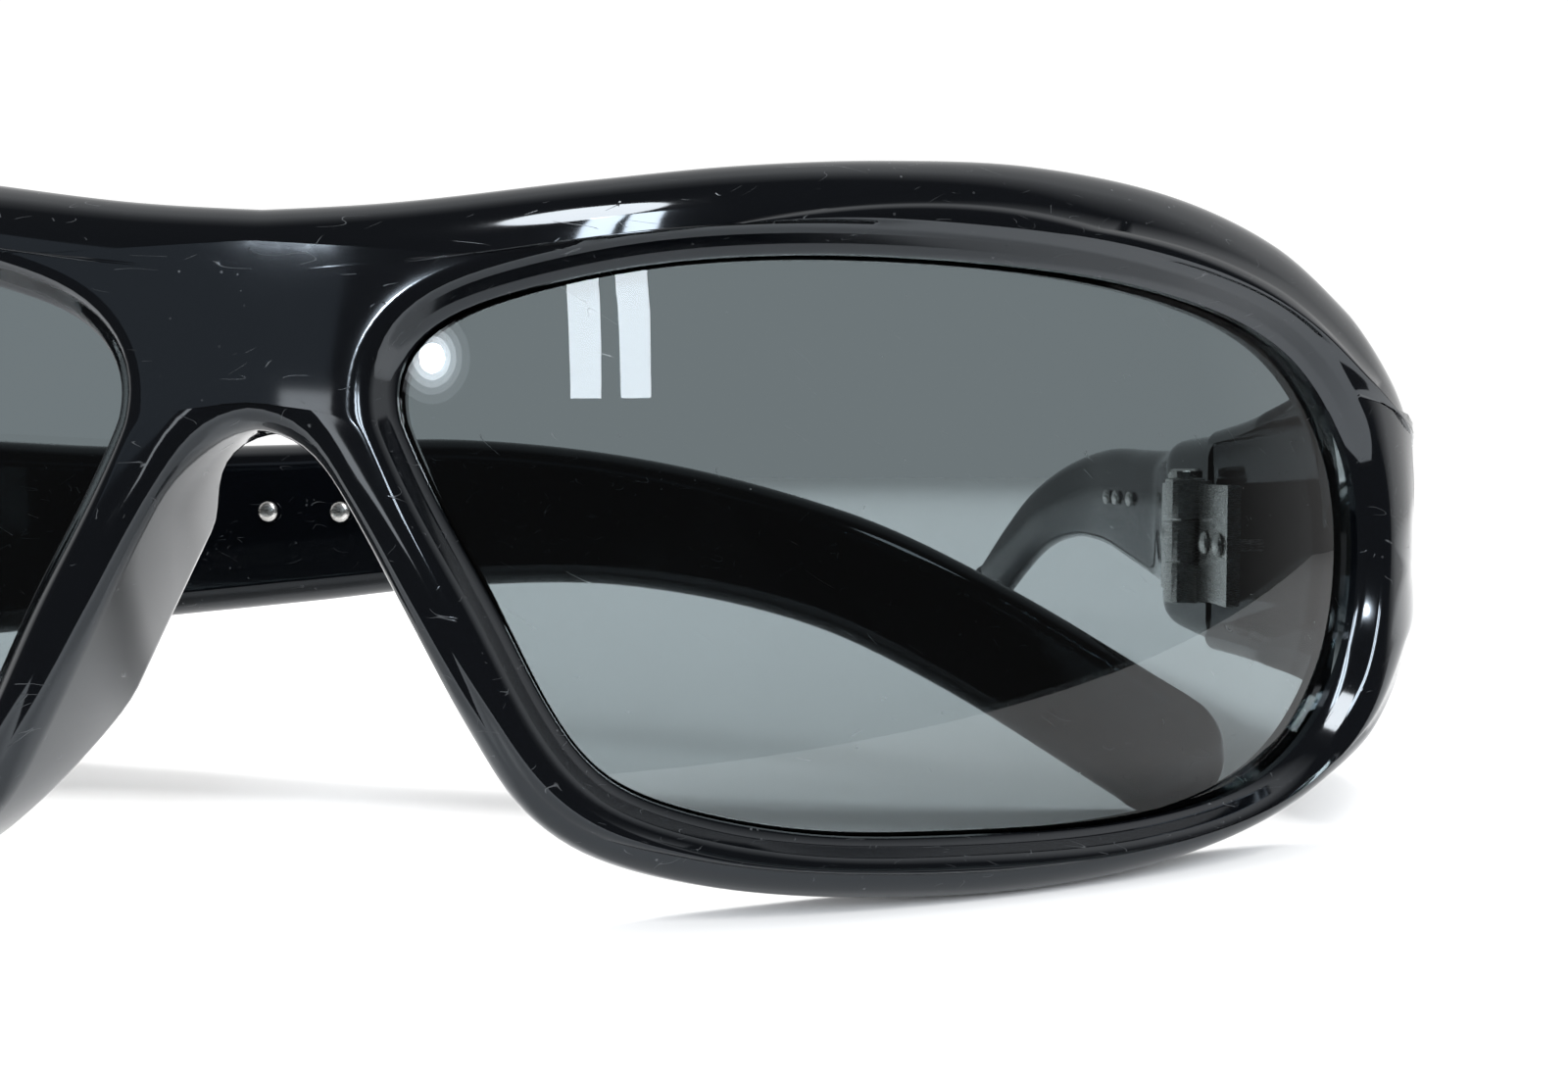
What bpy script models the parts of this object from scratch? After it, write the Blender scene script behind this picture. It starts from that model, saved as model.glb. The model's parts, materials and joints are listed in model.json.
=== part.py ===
"""Wraparound sport sunglasses, lying on a table on the rims and the ear tips.

The front is one moulded piece bent along a plan curve. Its outlines are drawn on the
unrolled face as (s, z): s is the distance along the plan curve from the nose, z is the
height. Every section of the rim is then laid on the bent face at its depth behind it.
Each arm is modelled open, in its own frame on the hinge axis, and folded by its empty.

Lengths are in millimetres up to the point where a vertex is made.
"""

import math

import bmesh
import bpy
from mathutils import Matrix, Vector

MM = 0.001

# Plan curve of the front face
WRAP_RADIUS = 112.0
WRAP_HALF_WIDTH = 65.0
SHOULDER_RADIUS = 17.0
LUG_ANGLE = math.radians(91.0)
BOW_RADIUS = 160.0

# Stance: the front leans back between the upright hinge axes
LEAN = math.radians(3.0)
FACE_HEIGHT = 20.64
PLAN_CENTRE_Y = 82.0

# Rim section
AROUND = 84
OUTLINE_STEP = 0.5
RIM_THICKNESS = 5.0
BRIDGE_THICKNESS = 5.6
ENDPIECE_THICKNESS = 10.4
PAD_DEPTH = 4.6
STEP_WIDTH = 1.45
LIP_DEPTH = 1.7
FACE_CROWN = 0.25
EDGE_RADIUS = 1.7
BACK_RADIUS = 1.2
GROOVE_DEPTH = 1.2
GROOVE_FRONT = 2.1
GROOVE_BACK = 4.3

# Lens
LENS_FRONT = 2.4
LENS_BACK = 4.0
LENS_GRIP = 0.9
LENS_CENTRE = (38.0, 8.0)

# Hinge
HINGE_X = 59.6
HINGE_Y = 45.7
HINGE_Z = -2.35
BUTT_GAP = 0.4
KNUCKLE_RADIUS = 1.55
KNUCKLE_BORE = 0.75
HINGE_HALF_HEIGHT = 5.0
KNUCKLE_SPLIT = 1.7
KNUCKLE_GAP = 0.1
LEAF_NEAR = 0.6
LEAF_FAR = 1.6
LEAF_START = 2.0
LEAF_END = 9.0
SCREW_RADIUS = 0.6
RIVET_RADIUS = 0.45
RIVET_BORE = 0.6
RIVET_DEPTH = 3.4
RIVET_PLACES = (3.7, 7.1)
STUD_PLACES = (44.0, 50.3, 54.6)
STUD_HEIGHT = 2.4

# Arms: how far each is folded in from straight back
FOLD_LEFT = 0.0
FOLD_RIGHT = 99.0

# Outlines on the unrolled face, from the nose over the brow and back under the lens
BROW_LINE = [
    (-4.0, 17.2), (0.0, 17.2), (7.4, 17.7), (17.1, 19.1), (25.3, 20.3), (34.0, 21.2),
    (43.7, 21.7), (54.0, 21.0), (62.6, 18.9), (69.0, 15.7), (74.5, 12.7), (81.0, 10.3),
    (88.0, 9.3), (99.5, 8.9),
]
LOWER_LINE = [
    (99.5, -8.9), (88.0, -9.1), (81.0, -9.7), (75.5, -11.2), (70.5, -13.7), (62.2, -17.1),
    (53.0, -19.2), (42.8, -20.0), (32.1, -19.6), (23.6, -18.5), (17.4, -16.6),
    (13.7, -13.9), (10.9, -9.6), (7.9, -3.9), (5.6, 0.5), (3.8, 3.4), (1.9, 5.1),
    (0.0, 5.7), (-2.0, 5.7), (-4.0, 5.7),
]
APERTURE_LINE = [
    (7.1, 7.7), (8.2, 10.4), (11.0, 12.3), (22.4, 15.0), (37.9, 15.8), (53.0, 14.9),
    (63.3, 12.0), (69.0, 6.2), (70.6, -0.5), (68.6, -8.6), (62.5, -14.4), (52.4, -16.6),
    (37.3, -16.6), (27.9, -15.8), (19.4, -13.4), (16.1, -10.5), (12.0, -2.9), (8.5, 3.6),
]

# Arm, along its length from the hinge: spine (u, v), half height, inner and outer face
ARM_SPINE = [
    (0.2, 0.0), (12.0, 0.0), (30.0, 0.4), (45.0, 1.3), (60.0, 2.3), (75.0, 1.6),
    (90.0, -1.6), (101.0, -6.4), (113.4, -13.55), (116.8, -15.57),
]
ARM_HALF_HEIGHT = [
    (0.0, 8.75), (12.0, 8.5), (30.0, 7.3), (45.0, 6.6), (60.0, 5.9), (75.0, 5.0),
    (90.0, 4.5), (104.0, 4.4), (124.0, 4.4),
]
ARM_INNER = [
    (0.0, 1.9), (11.0, 1.9), (18.0, 3.3), (26.0, 5.4), (36.0, 6.7), (60.0, 6.4),
    (90.0, 3.4), (124.0, -1.6),
]
ARM_OUTER = [
    (0.0, 12.3), (24.0, 12.3), (36.0, 11.7), (60.0, 10.3), (90.0, 7.0), (124.0, 1.6),
]
ARM_STATIONS = 30
ARM_CORNER = 2.2
TIP_STATIONS = 5

PARTS = "wraparound_sunglasses"
CUTTERS = "wraparound_sunglasses_cutters"


# ---------------------------------------------------------------- scene and materials

def clear_scene():
    for obj in list(bpy.data.objects):
        bpy.data.objects.remove(obj, do_unlink=True)


def collection(name):
    found = bpy.data.collections.get(name) or bpy.data.collections.new(name)
    if name not in bpy.context.scene.collection.children:
        bpy.context.scene.collection.children.link(found)
    return found


def material(name, color, roughness, metallic=0.0, alpha=1.0):
    made = bpy.data.materials.new(name)
    made.use_nodes = True
    shader = made.node_tree.nodes["Principled BSDF"]
    shader.inputs["Base Color"].default_value = (*color, 1.0)
    shader.inputs["Roughness"].default_value = roughness
    shader.inputs["Metallic"].default_value = metallic
    shader.inputs["Alpha"].default_value = alpha
    made.diffuse_color = (*color, alpha)
    return made


def axis_empty(name, location, turn=0.0, parent=None):
    empty = bpy.data.objects.new(name, None)
    empty.location = Vector(location) * MM
    empty.rotation_euler = (0.0, 0.0, turn)
    empty.parent = parent
    collection(PARTS).objects.link(empty)
    return empty


def node(name, mesh, finish, parent):
    obj = bpy.data.objects.new(name, mesh)
    obj.data.materials.append(finish)
    obj.parent = parent
    collection(PARTS).objects.link(obj)
    return obj


def finish_mesh(bm, name, sharp=40.0):
    bmesh.ops.recalc_face_normals(bm, faces=bm.faces)
    mesh = bpy.data.meshes.new(name)
    bm.to_mesh(mesh)
    bm.free()
    mesh.shade_smooth()
    mesh.set_sharp_from_angle(angle=math.radians(sharp))
    return mesh


def bake(obj):
    """Apply the object's modifiers to its mesh and drop them."""
    bpy.context.view_layer.update()
    evaluated = obj.evaluated_get(bpy.context.evaluated_depsgraph_get())
    mesh = bpy.data.meshes.new_from_object(evaluated)
    obj.modifiers.clear()
    obj.data = mesh


# ---------------------------------------------------------------- curves

def smooth_line(points, step):
    """An open curve through the points, resampled at about the given spacing."""
    padded = [points[0]] + list(points) + [points[-1]]
    dense = []
    for k in range(1, len(padded) - 2):
        before, start, end, after = (Vector(p) for p in padded[k - 1:k + 3])
        span = (end - start).length
        tangent_in = (end - before) * span / max((end - before).length, 1e-9)
        tangent_out = (after - start) * span / max((after - start).length, 1e-9)
        for j in range(12):
            t = j / 12
            dense.append(start * (2 * t**3 - 3 * t**2 + 1) + tangent_in * (t**3 - 2 * t**2 + t)
                         + end * (3 * t**2 - 2 * t**3) + tangent_out * (t**3 - t**2))
    dense.append(Vector(points[-1]))
    total = sum((b - a).length for a, b in zip(dense, dense[1:]))
    return even_points(dense, max(int(round(total / step)), 2))


def even_points(line, count):
    """The polyline resampled to count equal steps, ends included."""
    reach = [0.0]
    for a, b in zip(line, line[1:]):
        reach.append(reach[-1] + (b - a).length)
    result = []
    k = 0
    for j in range(count + 1):
        target = reach[-1] * j / count
        while k < len(line) - 2 and reach[k + 1] < target:
            k += 1
        share = (target - reach[k]) / max(reach[k + 1] - reach[k], 1e-9)
        result.append(line[k].lerp(line[k + 1], min(max(share, 0.0), 1.0)))
    return result


def height_at(points, x):
    """Smooth interpolation of a (position, value) list."""
    for (x0, y0), (x1, y1) in zip(points, points[1:]):
        if x <= x1 or (x1, y1) == points[-1]:
            t = min(max((x - x0) / (x1 - x0), 0.0), 1.0)
            k = points.index((x0, y0))
            slope_here = (y1 - y0) / (x1 - x0)
            slope_in = slope_here
            slope_out = slope_here
            if k > 0:
                px, py = points[k - 1]
                slope_in = soft_slope((y0 - py) / (x0 - px), slope_here)
            if k + 2 < len(points):
                nx, ny = points[k + 2]
                slope_out = soft_slope(slope_here, (ny - y1) / (nx - x1))
            width = x1 - x0
            return (y0 * (2 * t**3 - 3 * t**2 + 1) + slope_in * width * (t**3 - 2 * t**2 + t)
                    + y1 * (3 * t**2 - 2 * t**3) + slope_out * width * (t**3 - t**2))
    return points[-1][1]


def soft_slope(before, after):
    """A slope between two spans that never overshoots a flat one."""
    if before * after <= 0.0:
        return 0.0
    return 2.0 * before * after / (before + after)


def ease(low, high, x):
    t = min(max((x - low) / (high - low), 0.0), 1.0)
    return t * t * (3.0 - 2.0 * t)


# ---------------------------------------------------------------- bent front face

def plan_point(s):
    """Plan position and heading of the face at the distance s from the nose."""
    side = -1.0 if s < 0.0 else 1.0
    s = abs(s)
    arc_end = math.asin(WRAP_HALF_WIDTH / WRAP_RADIUS)
    arc_length = WRAP_RADIUS * arc_end
    shoulder_length = SHOULDER_RADIUS * (LUG_ANGLE - arc_end)
    if s <= arc_length:
        angle = s / WRAP_RADIUS
        x = WRAP_RADIUS * math.sin(angle)
        y = WRAP_RADIUS * (1.0 - math.cos(angle))
        return side * x, y, side * angle
    angle = arc_end + min(s - arc_length, shoulder_length) / SHOULDER_RADIUS
    x = WRAP_HALF_WIDTH + SHOULDER_RADIUS * (math.sin(angle) - math.sin(arc_end))
    y = (WRAP_RADIUS * (1.0 - math.cos(arc_end))
         + SHOULDER_RADIUS * (math.cos(arc_end) - math.cos(angle)))
    straight = max(s - arc_length - shoulder_length, 0.0)
    x += straight * math.cos(angle)
    y += straight * math.sin(angle)
    return side * x, y, side * angle


def on_face(s, z, depth):
    """The point at a depth behind the bent face, leaned back with the front."""
    x, y, angle = plan_point(s)
    back = depth + z * z / (2.0 * BOW_RADIUS)
    x -= math.sin(angle) * back
    y += math.cos(angle) * back
    return Vector((x, y * math.cos(LEAN) + z * math.sin(LEAN),
                   z * math.cos(LEAN) - y * math.sin(LEAN)))


def half_outline():
    """Outer outline of half the front, run a little past the middle plane."""
    top = smooth_line(BROW_LINE, OUTLINE_STEP)
    bottom = smooth_line(LOWER_LINE, OUTLINE_STEP)
    loop = top + bottom + [top[0]]
    return even_points(loop, AROUND)[:-1]


def aperture_hit(loop, direction):
    """Where a ray from the lens centre meets the closed aperture line."""
    centre = Vector(LENS_CENTRE)
    for a, b in zip(loop, loop[1:] + loop[:1]):
        edge = b - a
        cross = direction.x * edge.y - direction.y * edge.x
        if abs(cross) < 1e-12:
            continue
        offset = a - centre
        reach = (offset.x * edge.y - offset.y * edge.x) / cross
        share = (offset.x * direction.y - offset.y * direction.x) / cross
        if reach > 0.0 and -1e-9 <= share <= 1.0 + 1e-9:
            return centre + direction * reach
    return centre


def rim_stations():
    """Matching points on the aperture and on the outer outline, all round the lens."""
    wrapped = APERTURE_LINE[-2:] + APERTURE_LINE + APERTURE_LINE[:3]
    line = smooth_line(wrapped, OUTLINE_STEP)
    first, last = Vector(APERTURE_LINE[0]), Vector(APERTURE_LINE[0])
    start = min(range(len(line) // 2), key=lambda k: (line[k] - first).length)
    end = min(range(len(line) // 2, len(line)), key=lambda k: (line[k] - last).length)
    loop = line[start:end]
    centre = Vector(LENS_CENTRE)
    return [(aperture_hit(loop, (outer - centre).normalized()), outer)
            for outer in half_outline()]


def thickness_at(s):
    """Front to back thickness of the rim: fuller at the bridge and at the endpiece."""
    bridge = (BRIDGE_THICKNESS - RIM_THICKNESS) * (1.0 - ease(4.0, 14.0, abs(s)))
    endpiece = (ENDPIECE_THICKNESS - RIM_THICKNESS) * ease(71.0, 86.0, s)
    return RIM_THICKNESS + bridge + endpiece


def pad_at(point):
    """Extra depth of the moulded nose pad at the rim's outer edge."""
    along_nose = 1.0 - ease(14.0, 19.0, point.x)
    return PAD_DEPTH * along_nose * ease(-15.5, -8.0, point.y) * (1.0 - ease(0.5, 5.4, point.y))


def rim_section(inner, outer):
    """Closed section of the rim as (distance out from the aperture, depth) pairs."""
    width = (outer - inner).length
    step = min(STEP_WIDTH, 0.42 * width)
    edge = min(EDGE_RADIUS, 0.45 * width)
    inner_back = thickness_at(inner.x)
    outer_back = thickness_at(outer.x) + pad_at(outer)
    pairs = [(0.0, LIP_DEPTH), (0.2 * step, LIP_DEPTH - 0.1), (0.8 * step, 0.35), (step, 0.05)]
    face = width - step - edge
    pairs += [(step + face * f, -4.0 * FACE_CROWN * f * (1.0 - f)) for f in (0.33, 0.67)]
    for degrees in (0, 30, 60, 90):
        turn = math.radians(degrees)
        pairs.append((width - edge + edge * math.sin(turn), edge * (1.0 - math.cos(turn))))
    back = min(BACK_RADIUS, 0.3 * width)
    for degrees in (0, 45, 90):
        turn = math.radians(degrees)
        pairs.append((width - back + back * math.cos(turn),
                      outer_back - BACK_RADIUS + BACK_RADIUS * math.sin(turn)))
    middle = 0.5 * (inner_back + outer_back) - 0.25 * pad_at(outer)
    pairs += [(0.5 * width, middle), (0.22 * width, inner_back), (0.0, inner_back - 0.45)]
    pairs += [(0.0, GROOVE_BACK), (GROOVE_DEPTH, GROOVE_BACK),
              (GROOVE_DEPTH, GROOVE_FRONT), (0.0, GROOVE_FRONT)]
    return pairs


def skin(bm, rings, closed=True):
    """Quads between successive rings of vertices, each ring a closed loop."""
    spans = list(zip(rings, rings[1:] + rings[:1])) if closed else list(zip(rings, rings[1:]))
    for ring, following in spans:
        for k in range(len(ring)):
            after = (k + 1) % len(ring)
            bm.faces.new((ring[k], ring[after], following[after], following[k]))


def front_frame(finish, parent):
    bm = bmesh.new()
    rings = []
    for inner, outer in rim_stations():
        outward = (outer - inner).normalized()
        ring = []
        for reach, depth in rim_section(inner, outer):
            spot = inner + outward * reach
            ring.append(bm.verts.new(on_face(spot.x, spot.y, depth) * MM))
        rings.append(ring)
    skin(bm, rings)
    butt = (HINGE_Y - BUTT_GAP / 2) * MM
    for place, normal, side in (((0, butt, 0), (0, 1, 0), "outer"), ((0, 0, 0), (1, 0, 0), "inner")):
        cut = bmesh.ops.bisect_plane(
            bm, geom=bm.verts[:] + bm.edges[:] + bm.faces[:], plane_co=place, plane_no=normal,
            dist=1e-7, clear_outer=side == "outer", clear_inner=side == "inner")
        if side == "outer":
            rim = [item for item in cut["geom_cut"] if isinstance(item, bmesh.types.BMEdge)]
            bmesh.ops.contextual_create(bm, geom=rim)
    for vert in bm.verts:
        if abs(vert.co.x) < 1e-6:
            vert.co.x = 0.0
    obj = node("front_frame", finish_mesh(bm, "front_frame"), finish, parent)
    mirror = obj.modifiers.new("both halves", "MIRROR")
    mirror.use_axis = (True, False, False)
    mirror.merge_threshold = 0.00001
    bake(obj)
    return obj


def lens(side, finish, parent):
    """A bent sheet that fills the aperture and grips the groove."""
    bm = bmesh.new()
    centre = Vector(LENS_CENTRE)
    sign = -1.0 if side == "right" else 1.0
    edges = [inner + (outer - inner).normalized() * LENS_GRIP for inner, outer in rim_stations()]

    def spot(point, depth):
        placed = on_face(point.x, point.y, depth)
        return bm.verts.new(Vector((sign * placed.x, placed.y, placed.z)) * MM)

    rims = []
    for depth in (LENS_FRONT, LENS_BACK):
        rings = [[spot(centre.lerp(edge, share), depth) for edge in edges]
                 for share in (0.45, 0.8, 1.0)]
        hub = spot(centre, depth)
        for k in range(len(edges)):
            bm.faces.new((hub, rings[0][k], rings[0][(k + 1) % len(edges)]))
        skin(bm, rings, closed=False)
        rims.append(rings[-1])
    skin(bm, rims, closed=False)
    return node(f"lens_{side}", finish_mesh(bm, f"lens_{side}"), finish, parent)


# ---------------------------------------------------------------- small solids

def box_solid(name, low, high):
    bm = bmesh.new()
    bmesh.ops.create_cube(bm, size=1.0)
    low, high = Vector(low) * MM, Vector(high) * MM
    for vert in bm.verts:
        vert.co = Vector(low[k] + (vert.co[k] + 0.5) * (high[k] - low[k]) for k in range(3))
    return finish_mesh(bm, name)


def round_solid(name, profile, turn, place, sides=16):
    """A turned solid from (radius, height) pairs, with its axis turned and placed."""
    bm = bmesh.new()
    rings = []
    for radius, height in profile:
        ring = []
        for k in range(sides):
            angle = 2.0 * math.pi * k / sides
            ring.append(bm.verts.new((radius * math.cos(angle) * MM, radius * math.sin(angle) * MM,
                                      height * MM)))
        rings.append(ring)
    skin(bm, rings, closed=False)
    bm.faces.new(rings[0])
    bm.faces.new(rings[-1])
    bmesh.ops.transform(bm, matrix=Matrix.Translation(Vector(place) * MM) @ turn, verts=bm.verts)
    return finish_mesh(bm, name)


def cutter(name, mesh, parent):
    obj = bpy.data.objects.new(name, mesh)
    obj.parent = parent
    obj.hide_render = True
    obj.display_type = "WIRE"
    collection(CUTTERS).objects.link(obj)
    return obj


def boolean(obj, tool, operation):
    step = obj.modifiers.new(operation.lower(), "BOOLEAN")
    step.object = tool
    step.operation = operation


def join_and_bore(name, pieces, bores, finish, parent):
    """One solid from overlapping pieces, with round holes cut through it."""
    obj = node(name, pieces[0], finish, parent)
    for k, mesh in enumerate(pieces[1:]):
        boolean(obj, cutter(f"{name}_join_{k}", mesh, parent), "UNION")
    for k, mesh in enumerate(bores):
        boolean(obj, cutter(f"{name}_bore_{k}", mesh, parent), "DIFFERENCE")
    bake(obj)
    obj.data.shade_smooth()
    obj.data.set_sharp_from_angle(angle=math.radians(35))
    return obj


UPRIGHT = Matrix.Identity(4)


def across(sign):
    """Turns an upright solid so that its top points inwards, away from the arm's face."""
    return Matrix.Rotation(-sign * math.pi / 2, 4, "Y")


def hinge_leaf(name, sign, along, levels, finish, parent):
    """Leaf plate with its knuckles; along is -1 on the front and +1 on the arm."""
    near, far = sorted((sign * LEAF_NEAR, sign * LEAF_FAR))
    start, end = sorted((along * LEAF_START, along * LEAF_END))
    half = HINGE_HALF_HEIGHT - 0.4
    pieces = [box_solid(f"{name}_plate", (near, start, -half), (far, end, half))]
    for low, high in levels:
        tab = sorted((along * (LEAF_START + 0.3), 0.0))
        inset = 0.05 * sign
        tab_near, tab_far = sorted((sign * LEAF_NEAR + inset, sign * KNUCKLE_RADIUS - inset))
        pieces.append(box_solid(f"{name}_tab", (tab_near, tab[0], low + 0.1),
                                (tab_far, tab[1], high - 0.1)))
        pieces.append(round_solid(f"{name}_knuckle", ((KNUCKLE_RADIUS, low), (KNUCKLE_RADIUS, high)),
                                  UPRIGHT, (0, 0, 0), 20))
    bores = [round_solid(f"{name}_pin_bore", ((KNUCKLE_BORE, -8.0), (KNUCKLE_BORE, 8.0)),
                         UPRIGHT, (0, 0, 0), 16)]
    for place in RIVET_PLACES:
        bores.append(round_solid(f"{name}_rivet_bore", ((RIVET_BORE, -1.0), (RIVET_BORE, 3.0)),
                                 across(sign), (sign * 2.0, along * place, 0.0), 12))
    return join_and_bore(name, pieces, bores, finish, parent)


def headed_pin(name, radius, length, head, sign, place, finish, parent):
    """A rivet or stud: a shank in its hole and a domed head on the inner side."""
    profile = ((radius, -length), (radius, 0.0), (head, 0.0), (head * 0.93, 0.22),
               (head * 0.55, 0.42))
    return node(name, round_solid(name, profile, across(sign), place, 12), finish, parent)


def blind_hole(name, radius, depth, sign, place, parent):
    mesh = round_solid(name, ((radius, -depth), (radius, 2.0)), across(sign), place, 12)
    return cutter(name, mesh, parent)


def hinge_screw(side, finish, parent):
    """Screw through all three knuckles, with a slotted head on the upper one."""
    top = HINGE_HALF_HEIGHT + 0.1
    profile = ((SCREW_RADIUS, -HINGE_HALF_HEIGHT + 0.2), (SCREW_RADIUS, top), (1.35, top),
               (1.35, top + 0.55), (1.1, top + 0.75))
    name = f"hinge_screw_{side}"
    obj = node(name, round_solid(name, profile, UPRIGHT, (0, 0, 0), 16), finish, parent)
    slot = box_solid(f"{name}_slot", (-2.0, -0.2, top + 0.4), (2.0, 0.2, top + 2.0))
    boolean(obj, cutter(f"{name}_slot", slot, parent), "DIFFERENCE")
    bake(obj)
    return obj


# ---------------------------------------------------------------- arms

def arm_section(half_height, inner, outer):
    """Rounded rectangle as (outward, upward) pairs about the spine."""
    corner = min(ARM_CORNER, 0.46 * (outer - inner), 0.46 * half_height)
    middle, half_width = (inner + outer) / 2, (outer - inner) / 2
    pairs = []
    for quarter in range(4):
        for degrees in (0, 30, 60, 90):
            angle = math.radians(quarter * 90 + degrees)
            side = 1.0 if quarter in (0, 3) else -1.0
            rise = 1.0 if quarter in (0, 1) else -1.0
            pairs.append((middle + side * (half_width - corner) + corner * math.cos(angle),
                          rise * (half_height - corner) + corner * math.sin(angle)))
    return pairs


def arm_mesh(name, sign):
    spine = smooth_line(ARM_SPINE, 1.0)
    spine = even_points(spine, ARM_STATIONS)
    length = sum((b - a).length for a, b in zip(spine, spine[1:]))
    stations = []
    for k, point in enumerate(spine):
        ahead = spine[min(k + 1, ARM_STATIONS)] - spine[max(k - 1, 0)]
        stations.append((point, ahead.normalized(), length * k / ARM_STATIONS, 1.0))
    end, heading = stations[-1][0], stations[-1][1]
    stations[0] = (stations[0][0], Vector((1.0, 0.0)), 0.0, 1.0)
    stations.pop()
    round_end = height_at(ARM_HALF_HEIGHT, length)
    start = end - heading * (round_end * 0.72)
    stations = [station for station in stations if (station[0] - start).dot(heading) < -1.0
                or station[2] < length / 2]
    for k in range(TIP_STATIONS + 1):
        angle = math.radians(86.0) * k / TIP_STATIONS
        point = start + heading * round_end * 0.95 * math.sin(angle)
        stations.append((point, heading, length, math.cos(angle)))
    bm = bmesh.new()
    rings = []
    for point, heading, reach, shrink in stations:
        half = height_at(ARM_HALF_HEIGHT, reach) * shrink
        inner, outer = height_at(ARM_INNER, reach), height_at(ARM_OUTER, reach)
        thin = 0.5 * (1.0 - shrink**0.5) * (outer - inner)
        rise = Vector((-heading.y, heading.x))
        ring = []
        for outward, upward in arm_section(half, inner + thin, outer - thin):
            flat = point + rise * upward
            ring.append(bm.verts.new(Vector((sign * outward, flat.x, flat.y)) * MM))
        rings.append(ring)
    skin(bm, rings, closed=False)
    bm.faces.new(rings[0])
    bm.faces.new(rings[-1])
    return finish_mesh(bm, name)


def face_of_arm(u):
    return height_at(ARM_INNER, u)


def arm(side, sign, finishes, axis):
    plastic, steel = finishes
    obj = node(f"temple_{side}", arm_mesh(f"temple_{side}", sign), plastic, axis)
    for k, place in enumerate(RIVET_PLACES):
        seat = (sign * LEAF_NEAR, place, 0.0)
        boolean(obj, blind_hole(f"{side}_arm_rivet_hole_{k}", RIVET_BORE, RIVET_DEPTH + 0.3, sign,
                                seat, axis), "DIFFERENCE")
        headed_pin(f"temple_hinge_rivet_{side}_{k + 1}", RIVET_RADIUS, RIVET_DEPTH, 0.95, sign,
                   (sign * (LEAF_NEAR - 0.1), place, 0.0), steel, axis)
    for k, place in enumerate(STUD_PLACES):
        seat = face_of_arm(place)
        boolean(obj, blind_hole(f"{side}_stud_hole_{k}", 0.75, 2.2, sign,
                                (sign * seat, place, STUD_HEIGHT), axis), "DIFFERENCE")
        headed_pin(f"temple_stud_{side}_{k + 1}", 0.55, 1.9, 0.85, sign,
                   (sign * (seat - 0.25), place, STUD_HEIGHT), steel, axis)
    bake(obj)
    obj.data.shade_smooth()
    obj.data.set_sharp_from_angle(angle=math.radians(40))
    split = KNUCKLE_SPLIT - KNUCKLE_GAP
    hinge_leaf(f"temple_hinge_{side}", sign, 1.0, ((-split, split),), steel, axis)


def endpiece_hinge(side, sign, frame, steel, axis):
    """Fixed half of the hinge, on the inner face of the front's endpiece."""
    split, half = KNUCKLE_SPLIT + KNUCKLE_GAP, HINGE_HALF_HEIGHT
    hinge_leaf(f"front_hinge_{side}", sign, -1.0, ((-half, -split), (split, half)), steel, axis)
    hinge_screw(side, steel, axis)
    for k, place in enumerate(RIVET_PLACES):
        seat = (sign * LEAF_NEAR, -place, 0.0)
        boolean(frame, blind_hole(f"{side}_front_rivet_hole_{k}", RIVET_BORE, RIVET_DEPTH + 0.3,
                                  sign, seat, axis), "DIFFERENCE")
        headed_pin(f"front_hinge_rivet_{side}_{k + 1}", RIVET_RADIUS, RIVET_DEPTH, 0.95, sign,
                   (sign * (LEAF_NEAR - 0.1), -place, 0.0), steel, axis)


def main():
    clear_scene()
    plastic = material("gloss_black_plastic", (0.006, 0.007, 0.009), 0.08)
    smoke = material("smoke_lens", (0.10, 0.12, 0.125), 0.03, alpha=0.55)
    steel = material("hinge_steel", (0.62, 0.62, 0.60), 0.28, metallic=1.0)
    origin = axis_empty("stance", (0.0, -PLAN_CENTRE_Y, FACE_HEIGHT))
    frame = front_frame(plastic, origin)
    for side, sign, fold in (("left", 1.0, FOLD_LEFT), ("right", -1.0, FOLD_RIGHT)):
        lens(side, smoke, origin)
        place = (sign * HINGE_X, HINGE_Y, HINGE_Z)
        endpiece_hinge(side, sign, frame, steel, axis_empty(f"{side}_hinge_seat", place, 0.0, origin))
        turn = sign * math.radians(fold)
        arm(side, sign, (plastic, steel), axis_empty(f"{side}_fold_axis", place, turn, origin))
    bake(frame)
    frame.data.shade_smooth()
    frame.data.set_sharp_from_angle(angle=math.radians(40))


main()
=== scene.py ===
"""Studio scene of the wraparound sunglasses: the fine surfaces, materials, lights and camera.

The CAD frame gives the places. The front, lenses and arms are rebuilt here from the same
outlines with a finer skin. Rivets and studs get domed heads, and the hinge leaves and screws
keep their CAD form with eased edges. Lengths are in millimetres, and in metres in the studio.
"""

import json
import math

import bmesh
import bpy
from mathutils import Matrix, Vector


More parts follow.
